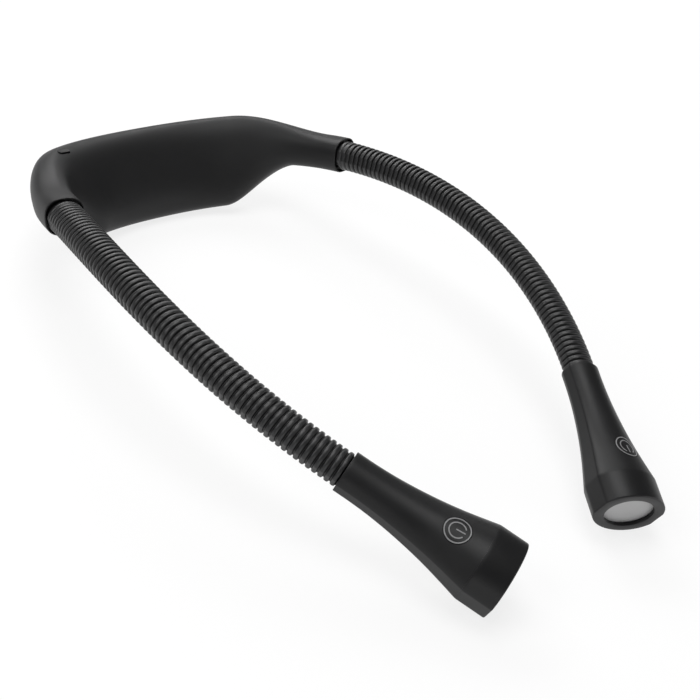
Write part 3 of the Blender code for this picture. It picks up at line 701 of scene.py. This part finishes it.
def stadium(name, width, height, near, far, middle=0):
    # A round bar that lies along Y, pulled wide and then moved to its place
    bpy.ops.mesh.primitive_cylinder_add(vertices=40, radius=height / 2, depth=far - near,
                                        location=(0, 0, 0), rotation=(math.pi / 2, 0, 0))
    piece = settled(started(name))
    pulledApart(piece, (height - width) / 2, (width - height) / 2)
    editing(piece, whole=True)
    bpy.ops.transform.translate(value=(0, (near + far) / 2, middle))
    return done(piece)


matrix, sizes = housingStand(port["fromMiddle"], -1)
surface, past = sizes[0], sizes[0] + housing["overcut"]
portMiddle = port["height"] / 2 - port["belowMiddle"]
socket = stadium("chargingSocket", port["width"], port["height"],
                 surface - port["depth"], surface - port["sunk"], portMiddle)
carve(socket, stadium("socketMouthCut", port["width"] - 2 * port["wall"], port["height"] - 2 * port["wall"],
                      surface - port["mouthDepth"], past, portMiddle))
tongue = box("socketTongue", (0, surface - port["tongueDepth"], portMiddle), port["tongue"])
applied(tongue, "BEVEL", width=port["tongueEdge"], segments=2)
opening = stadium("socketOpening", port["width"] + 2 * port["gap"], port["height"] + 2 * port["gap"],
                  surface - port["depth"] - port["gapBehind"], past, portMiddle)
carve(backCover, stand(opening, matrix))
finished(stand(smooth(socket), matrix), socketLook, "housing", "usb_c_socket")
finished(stand(smooth(tongue), matrix), tongueLook, "housing")

# Indicator: a smoked light guide that stands slightly proud in an oval hole, with a dark gap round it
indicator = {
    "share": 0.515, "angle": 129, "turn": 15, "length": 7.2 * mm, "width": 1.7 * mm, "depth": 3 * mm,
    "gap": 0.45 * mm, "gapBehind": 1 * mm, "lift": 0.15 * mm, "proud": 0.5 * mm,
    "shareStep": 0.002, "angleStep": 4,  # to feel the slope of the shell round it
}


def nearIndicator(along, across):
    return housingPoint(indicator["share"] + along * indicator["shareStep"],
                        math.radians(indicator["angle"] + across * indicator["angleStep"]), 0)


spot = nearIndicator(0, 0)
ahead = (nearIndicator(1, 0) - spot).normalized()
sideways = (nearIndicator(0, 1) - nearIndicator(0, -1)).normalized()
facing = sideways.cross(ahead).normalized()
facing = -facing if facing.z < 0 else facing
turn = math.radians(indicator["turn"])
longWay = ahead * math.cos(turn) + ahead.cross(facing) * math.sin(turn)
indicatorStand = placed(spot, longWay, facing, longWay.cross(facing))
hole = stadium("indicatorHole", indicator["length"] + 2 * indicator["gap"], indicator["width"] + 2 * indicator["gap"],
               -indicator["depth"] - indicator["gapBehind"], housing["overcut"])
carve(shell, stand(hole, indicatorStand))
window = stadium("indicatorWindow", indicator["length"], indicator["width"], -indicator["depth"], housing["overcut"])
stand(window, indicatorStand @ Matrix.Translation((0, 0, -indicator["lift"])))  # a wider gap on the lower side
outerBody.location += facing * indicator["proud"]
finished(smooth(carve(window, outerBody, "INTERSECT"), 40), windowLook, "housing",
         "charge_indicator")

# The lowest edge is cut flat, where the housing stands
carve(shell, box("tableCut", *housing["tableCut"]))
finished(smooth(shell, 30), softTouch, "housing", "housing_shell")
finished(smooth(backCover, 30), softTouch, "housing", "back_cover")

# Ribbed sleeves
print("ribbed sleeves")
sleeve = {
    "inSocket": (8 * mm, 4 * mm, 0.5 * mm), "inCollar": (0.5 * mm, 5 * mm), "bore": 4.3 * mm, "boreSteps": 12,
    "cuts": (0, 12, 23, 34, 45, 56, 68), "firstHinge": 6.5, "hingeStep": 11, "bend": 5.2,  # in ribs
    "fade": (0.4, 1.0), "fadeFrom": 0.5 * mm, "fadeTo": 9 * mm,
    # Painted shade: a groove is painted black from this depth on, in mm, near the socket and near the head, as shade
    # in the grooves
    "paintedShadeDepth": (0.22, 0.6), "paintedShadeFrom": 40 * mm, "paintedShadeTo": 130 * mm,
    # Place in a pitch and depth below the top of the rib, in mm
    "profile": ((0.0, 0.85), (0.05, 0.84), (0.09, 0.74), (0.13, 0.52), (0.17, 0.3), (0.22, 0.14), (0.29, 0.055),
                (0.38, 0.015), (0.5, 0.0), (0.62, 0.015), (0.71, 0.055), (0.78, 0.14), (0.83, 0.3), (0.87, 0.52),
                (0.91, 0.74), (0.95, 0.84)),
}


def sleevePiece(name, first, last):
    # Each row is a ring and how much painted shade it gets, from 0 on top of a rib to 1 in a groove; the bore and the
    # ends in the collar get the full painted shade
    rows = []
    low, high = first * ribPitch, last * ribPitch
    if first == 0:
        low = -sleeve["inSocket"][0]
        rows += [(sleeveRing(-d, arm["plainDepth"]), sleeve["fade"][0]) for d in sleeve["inSocket"]]
    for pitch in range(first, last):
        for place, depth in sleeve["profile"]:
            distance = (pitch + place) * ribPitch
            # The first ribs out of the socket are shallower, and get less painted shade
            fade = mix(*sleeve["fade"], ease(distance, sleeve["fadeFrom"], sleeve["fadeTo"]))
            # Painted shade: the rubber is painted darker with depth, and black below the painted shade depth
            black = mix(*sleeve["paintedShadeDepth"], ease(distance, sleeve["paintedShadeFrom"], sleeve["paintedShadeTo"]))
            rows.append((sleeveRing(distance, depth * mm * fade), min(depth / black, 1) * fade))
    rows.append((sleeveRing(high, sleeve["profile"][0][1] * mm), 1.0))
    if last == arm["ribs"]:
        high = armLength + sleeve["inCollar"][-1]
        rows += [(sleeveRing(armLength + d, arm["plainDepth"]), 1.0) for d in sleeve["inCollar"]]
    rows += [(roundRing(mix(high, low, i / sleeve["boreSteps"]), sleeve["bore"]), 1.0)
             for i in range(sleeve["boreSteps"] + 1)]
    piece = wrapped(name, [ring for ring, dark in rows], "join")
    # The grid's own UV map tells which row a vertex is on
    # Painted shade per vertex, read by the rubber material
    values = piece.data.attributes.new("paintedGrooveShade", "FLOAT", "POINT")
    layer = piece.data.uv_layers.active.data
    darkAt = [0.0] * len(piece.data.vertices)
    for loop in piece.data.loops:
        darkAt[loop.vertex_index] = rows[round(layer[loop.index].uv.y * len(rows)) % len(rows)][1]
    values.data.foreach_set("value", darkAt)
    return smooth(piece, 60)


for k, (first, last) in enumerate(zip(sleeve["cuts"], sleeve["cuts"][1:])):
    rightPiece = sleevePiece(f"rightSleeve{k + 1}", first, last)
    leftPiece = mirroredCopy(rightPiece, f"leftSleeve{k + 1}")
    hinge = sleeve["firstHinge"] + sleeve["hingeStep"] * k
    start, end = (pathAt((hinge + way * sleeve["bend"]) * ribPitch)[0] for way in (-1, 1))
    for way, sideName, piece in ((1, "right", rightPiece), (-1, "left", leftPiece)):
        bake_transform(dress(piece, rubber))
        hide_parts(f"{sideName}_sleeve_{k + 1}", f"{sideName}_sleeve_{k + 2}")

# Lamp heads
print("lamp heads")
head = {
    "length": 65.9 * mm, "halfWide": 15.5 * mm, "halfTall": 11.75 * mm, "wall": 1.3 * mm, "seam": 0.012 * mm,
    "collarPlaces": (12.3 * mm, 6 * mm, 0.0), "collarGap": 0.3 * mm, "cavityGap": 1.5 * mm,
    "collarRound": 0.25 * mm, "roundSteps": 4, "outerSteps": 48, "innerSteps": 20, "lastStep": 0.06 * mm,
    "crease": 0.815, "capStep": 0.835,
    "lengthShares": (0.0, 0.1, 0.2, 0.3, 0.4, 0.5, 0.6, 0.7, 0.815),
    "wideShares": (0.525, 0.525, 0.54, 0.574, 0.625, 0.69, 0.77, 0.868, 0.99),
    "tallShares": (0.565, 0.565, 0.578, 0.607, 0.65, 0.705, 0.78, 0.873, 0.99),
}


def throughShares(places, values, share):
    # A smooth curve through the values, with the slope at each from its neighbours
    last = len(places) - 1
    i = min(max(sum(1 for p in places if p <= share) - 1, 0), last - 1)
    t = (share - places[i]) / (places[i + 1] - places[i])
    here = values[i + 1] - values[i]
    after = values[i + 2] - values[i + 1] if i + 2 <= last else here
    slopeA, slopeB = (values[i + 1] - values[i - 1]) / 2 if i else 0, (here + after) / 2
    h = t * t * (3 - 2 * t)
    return values[i] * (1 - h) + values[i + 1] * h + slopeA * (t * (1 - t) ** 2) - slopeB * (t * t * (1 - t))


def headHalfSizes(place):
    share = place / head["length"]
    if share <= head["crease"]:
        return (head["halfWide"] * throughShares(head["lengthShares"], head["wideShares"], max(share, 0)),
                head["halfTall"] * throughShares(head["lengthShares"], head["tallShares"], max(share, 0)))
    t = min((share - head["crease"]) / (head["capStep"] - head["crease"]), 1)
    grown = mix(head["wideShares"][-1], 1.0, t * (2 - t))
    return head["halfWide"] * grown, head["halfTall"] * grown


def headRing(place, inset):
    wide, tall = headHalfSizes(place)
    return ovalRing(armLength + place, wide - inset, tall - inset)


crease = head["crease"] * head["length"]
bodyEnd, capStart = crease - head["seam"] / 2, crease + head["seam"] / 2


def roundedRings(steps, radius):
    # How far a rounded edge comes forward and in at each step
    turns = [k / steps * math.pi / 2 for k in range(steps + 1)]
    return [(radius * (1 - math.cos(turn)), radius * (1 - math.sin(turn))) for turn in turns]


outerRings = [headRing(ahead, inset) for ahead, inset in roundedRings(head["roundSteps"], head["collarRound"])[:-1]]
outerRings += [headRing(mix(head["collarRound"], bodyEnd - head["lastStep"], i / head["outerSteps"]), 0)
               for i in range(head["outerSteps"] + 1)]
outerRings.append(headRing(bodyEnd, 0))
cavityStart = head["collarPlaces"][0] + head["cavityGap"]
innerRings = [headRing(mix(bodyEnd, cavityStart, i / head["innerSteps"]), head["wall"])
              for i in range(head["innerSteps"] + 1)]
innerRings += [sleeveRing(armLength + p, arm["plainDepth"] - head["collarGap"]) for p in head["collarPlaces"]]
headBody = wrapped("rightHeadBody", outerRings + innerRings, "join")
headBlank = wrapped("headBlank", outerRings)

# Power button: cut from the head's own outside, so that its top follows it, with a flange below
button = {
    "fromCrease": 11.69 * mm, "slopeReach": 2.5 * mm, "radius": 5.0 * mm, "gap": 0.16 * mm, "edge": 0.12 * mm,
    "reach": 2 * mm, "flange": 6.2 * mm, "flangeHeight": 0.7 * mm, "flangeDrop": 3.1 * mm, "flangeJoin": 0.1 * mm,
}
buttonPlace = crease - button["fromCrease"]
tallBehind, tall, tallAhead = (headHalfSizes(buttonPlace + way * button["slopeReach"])[1] for way in (-1, 0, 1))
tip = math.atan((tallAhead - tallBehind) / (2 * button["slopeReach"]))
point, wide, face = armFrame(armLength + buttonPlace)
buttonUp = face * math.cos(tip) - headHeading * math.sin(tip)
buttonAlong = headHeading * math.cos(tip) + face * math.sin(tip)
buttonStand = placed(point + face * tall, buttonAlong, buttonUp.cross(buttonAlong), buttonUp)
flangeTop = -button["flangeDrop"]
carve(headBody, stand(disc("buttonHole", button["radius"] + button["gap"], flangeTop, button["reach"], 96),
                      buttonStand))
smooth(headBody, 30)
powerButton = stand(disc("rightPowerButton", button["radius"], flangeTop, button["reach"], 96), buttonStand)
carve(powerButton, headBlank, "INTERSECT", keep=True)
mesh = editing(powerButton, "EDGE")
for edge in mesh.edges:
    middle = (edge.verts[0].co + edge.verts[1].co) / 2
    edge.select_set(sharp(edge, 0.9) and (middle - buttonStand.translation).dot(buttonUp) > -button["reach"])
mesh.select_flush(True)
bpy.ops.mesh.bevel(offset=button["edge"], segments=2, affect="EDGES")
done(powerButton)
flange = disc("flange", button["flange"], flangeTop - button["flangeHeight"], flangeTop + button["flangeJoin"], 64)
smooth(carve(powerButton, stand(flange, buttonStand), "UNION"), 30)

# Power mark: flat ring, broken ring and bar, pressed on to the button's curved top
mark = {
    "ringOuter": 4.86 * mm, "lineWidth": 0.44 * mm, "arcOuter": 3.2 * mm, "arcGap": 58,
    "bar": (-0.6 * mm, 3.0 * mm), "barStep": 0.5 * mm, "barSteps": range(-1, 6),
    "above": 3 * mm, "lift": 0.01 * mm, "inkHeight": 0.07 * mm,
}


def flatDisc(name, radius, sides):
    bpy.ops.mesh.primitive_circle_add(vertices=sides, radius=radius, fill_type="NGON", location=(0, 0, 0))
    return started(name)


def flatRing(name, outer, openAngle=0):
    piece = flatDisc(name, outer, 96)
    editing(piece, "FACE", whole=True)
    bpy.ops.mesh.inset(thickness=mark["lineWidth"], depth=0)
    bpy.ops.mesh.delete(type="FACE")
    if openAngle:
        mesh = bmesh.from_edit_mesh(piece.data)
        for face in mesh.faces:
            centre = face.calc_center_median()
            face.select_set(abs(math.degrees(math.atan2(centre.y, centre.x))) < openAngle / 2)
        bpy.ops.mesh.delete(type="FACE")
    return done(piece)


def markBar(name):
    radius = mark["lineWidth"] / 2
    piece = pulledApart(flatDisc(name, radius, 24), mark["bar"][0] + radius, mark["bar"][1] - radius)
    for i in mark["barSteps"]:
        editing(piece, whole=True)
        bpy.ops.mesh.bisect(plane_co=(i * mark["barStep"], 0, 0), plane_no=(1, 0, 0))
        done(piece)
    return piece


def pressedOn(piece):
    piece.matrix_world = buttonStand @ Matrix.Translation((0, 0, mark["above"]))
    applied(piece, "SHRINKWRAP", target=headBlank, wrap_method="PROJECT", use_project_z=True,
            use_negative_direction=True, use_positive_direction=False, offset=mark["lift"])
    settled(applied(piece, "SOLIDIFY", thickness=mark["inkHeight"], offset=1.0))
    editing(piece, whole=True)
    bpy.ops.mesh.normals_make_consistent(inside=False)
    return smooth(done(piece), 40)


powerRing = pressedOn(flatRing("rightMarkRing", mark["ringOuter"]))
powerArc = pressedOn(flatRing("rightMarkArc", mark["arcOuter"], mark["arcGap"]))
powerBar = pressedOn(markBar("rightMarkBar"))
bpy.data.objects.remove(headBlank, do_unlink=True)

# Lamp cap: rounded end, oval lamp window and a lip that goes into the body
cap = {
    "windowWide": 10.5 * mm, "windowTall": 8.4 * mm, "frontWall": 1.5 * mm, "endRound": 0.6 * mm,
    "windowEdge": ((0, 0.35 * mm), (0.1 * mm, 0.1 * mm), (0.35 * mm, 0)),  # how far back and how much wider
    "stepRings": 8, "roundRings": 6, "wallRings": 4, "lipGap": 0.3 * mm, "lipWall": 0.9 * mm, "lipLength": 3 * mm,
}
end = head["length"]
front, lipEnd = end - cap["frontWall"], bodyEnd - cap["lipLength"]
lipOutside = head["wall"] + cap["lipGap"]
lipInside = lipOutside + cap["lipWall"]
capRings = [headRing(capStart, 0)]
capRings += [headRing(mix(crease, end * head["capStep"], i / cap["stepRings"]), 0)
             for i in range(1, cap["stepRings"] + 1)]
capRings += [headRing(end - back, inset) for inset, back in roundedRings(cap["roundRings"], cap["endRound"])]
capRings += [ellipseRing(armLength + end - back, cap["windowWide"] + wider, cap["windowTall"] + wider)
             for back, wider in (*cap["windowEdge"], (cap["frontWall"], 0))]
capRings += [headRing(mix(front, capStart, i / cap["wallRings"]), mix(head["wall"], lipInside, i / cap["wallRings"]))
             for i in range(cap["wallRings"] + 1)]
capRings += [headRing(lipEnd, lipInside), headRing(lipEnd, lipOutside), headRing(capStart, lipOutside)]
lampCap = smooth(wrapped("rightLampCap", capRings, "join"), 30)

# Lens: a frosted oval plate with a softly rounded edge
lens = {
    "halfWide": 11.2 * mm, "halfTall": 9.1 * mm, "thickness": 2.0 * mm, "edge": 0.4 * mm, "gap": 0.3 * mm,
    "bulgeStep": 3 * mm, "bulge": (0.06 * mm, 0.03 * mm),
}
lensFront = front - lens["gap"]
lensPiece = disc("rightLens", lens["halfTall"], lensFront - lens["thickness"], lensFront, 96)
editing(lensPiece, whole=True)
bpy.ops.transform.resize(value=(lens["halfWide"] / lens["halfTall"], 1, 1), center_override=(0, 0, 0))
done(lensPiece)
roundedEnd(lensPiece, lensFront, lens["edge"])
mesh = editing(lensPiece, "FACE")
for face in mesh.faces:
    face.select_set(face.normal.z > 0.9 and face.calc_area() > tiny)
for rise in lens["bulge"]:
    bpy.ops.mesh.inset(thickness=lens["bulgeStep"], depth=rise)
done(lensPiece)
wide = armFrame(armLength)[1]
stand(smooth(lensPiece, 40), placed(collarPoint, wide, headHeading.cross(wide), headHeading))

lampPieces = (
    (headBody, "HeadBody", satin, "lamp", "head_body", "head_satin_black"),
    (lampCap, "LampCap", satin, "lamp", "lamp_cap", "cap_satin_black"),
    (lensPiece, "Lens", lensLook, "lamp", "lens", "lens_frosted"),
    (powerButton, "PowerButton", satin, "button", "power_button", "button_satin_black"),
    (powerRing, "MarkRing", ink, "button", None, None),
    (powerArc, "MarkArc", ink, "button", None, None),
    (powerBar, "MarkBar", ink, "button", None, None),
)
for rightPiece, title, look, body, node, slotName in lampPieces:
    leftPiece = mirroredCopy(rightPiece, f"left{title}")
    for sideName, piece in (("right", rightPiece), ("left", leftPiece)):
        finished(piece, look, f"{sideName}_{body}", node and f"{sideName}_{node}")

# Inner CAD parts keep their shapes and get their finishes
print("inner parts")
for sideName in ("right", "left"):
    for i in range(1, 8):
        dressNode(f"{sideName}_core_{i}", coreLook)
    for node, look in (("arm_anchor", anchorLook), ("head_anchor", anchorLook), ("reflector", reflectorLook),
                       ("led_board", ledBoardLook), ("led", ledLook), ("switch_board", switchBoardLook),
                       ("push_switch", switchLook)):
        dressNode(f"{sideName}_{node}", look)
dressNode("battery_pack", batteryLook)
dressNode("charging_board", switchBoardLook)

# Camera, floor and light
print("camera and light")
view = {
    "place": (-0.32917, -0.30657, 0.31574), "right": (0.74208, -0.64085, 0.19654),
    "up": (0.25572, 0.54168, 0.80074), "forward": (0.61962, 0.54395, -0.56585), "lens": 67.73,
}
camera = bpy.data.objects.new("camera", bpy.data.cameras.new("camera"))
bpy.context.scene.collection.objects.link(camera)
camera.matrix_world = placed(view["place"], view["right"], view["up"], -Vector(view["forward"]))
camera.data.lens, camera.data.sensor_width, camera.data.sensor_fit = view["lens"], 36.0, "HORIZONTAL"
camera.data.clip_start, camera.data.clip_end = 0.01, 20.0
bpy.context.scene.camera = camera

light = {
    "floorHex": "#ffffff", "floorSize": 8.0, "floorDrop": 0.02 * mm, "floorGlow": 0.8,
    "horizon": 0.225, "zenith": 0.12,
}
softboxes = {  # place, size, watts
    "topLight": ((0.0, 0.157, 1.492), (0.9, 0.9), 10.3),
    "backLight": ((0.252, 1.187, 0.882), (1.0, 0.5), 9.8),
    "leftLight": ((-1.077, 0.289, 1.004), (0.8, 0.7), 6.2),
    "rightLight": ((0.953, 0.799, 0.839), (0.6, 0.6), 2.8),
    "frontLight": ((0.862, -1.187, 0.312), (1.2, 0.45), 4.2),
    "frontLeftLight": ((-0.936, -1.115, 0.363), (1.4, 0.45), 3.1),
}
for name, (place, size, watts) in softboxes.items():
    bpy.ops.object.light_add(type="AREA", location=place)
    lamp = bpy.context.view_layer.objects.active
    lamp.name = name
    lamp.rotation_euler = (-Vector(place)).to_track_quat("-Z", "Y").to_euler()
    lamp.data.shape, lamp.data.energy = "RECTANGLE", watts
    lamp.data.size, lamp.data.size_y = size

world = bpy.data.worlds.new("studio")
bpy.context.scene.world = world
world.use_nodes = True
tree = world.node_tree
ray = addNode(tree, "ShaderNodeLightPath").outputs
direction = addNode(tree, "ShaderNodeTexCoord").outputs["Generated"]
height = addNode(tree, "ShaderNodeSeparateXYZ", {"Vector": direction}).outputs["Z"]
# Pale round the horizon and dimmer overhead, as in a white cove
cove = addNode(tree, "ShaderNodeMapRange", {"Value": height, "From Min": 0.04, "From Max": 0.3,
                                            "To Min": light["horizon"], "To Max": light["zenith"]})
# The camera sees white behind the floor. Gloss sees the dim cove, or the black shells would turn grey
seen = addNode(tree, "ShaderNodeMath", {0: ray["Is Camera Ray"], 1: ray["Is Transmission Ray"]}, operation="MAXIMUM")
behind = addNode(tree, "ShaderNodeMix", {"Factor": seen.outputs[0], "A": cove.outputs["Result"], "B": 1.0})
tree.links.new(behind.outputs["Result"], tree.nodes["Background"].inputs["Strength"])
tree.nodes["Background"].inputs["Color"].default_value = (1, 1, 1, 1)

# The floor glows for the camera, in gloss and through glass, and still takes soft shadows
bpy.ops.mesh.primitive_plane_add(size=light["floorSize"], location=(0, 0, -light["floorDrop"]))
floor = settled(started("floor"))
floorLook, tree, shader = startMaterial("paintedFloor", light["floorHex"], 0.9)
shader.inputs["Specular IOR Level"].default_value = 0.0
ray = addNode(tree, "ShaderNodeLightPath").outputs
straight = addNode(tree, "ShaderNodeMath", {0: ray["Is Camera Ray"], 1: ray["Is Glossy Ray"]}, operation="MAXIMUM")
direct = addNode(tree, "ShaderNodeMath", {0: straight.outputs[0], 1: ray["Is Transmission Ray"]}, operation="MAXIMUM")
glow = addNode(tree, "ShaderNodeMath", {0: direct.outputs[0], 1: light["floorGlow"]}, operation="MULTIPLY")
white = addNode(tree, "ShaderNodeEmission", {"Color": (1, 1, 1, 1), "Strength": 1.0})
both = addNode(tree, "ShaderNodeMixShader", {0: glow.outputs[0], 1: shader.outputs[0], 2: white.outputs[0]})
tree.links.new(both.outputs[0], tree.nodes["Material Output"].inputs["Surface"])
dress(floor, floorLook)
bpy.context.scene.view_settings.view_transform = "Standard"

print("done")
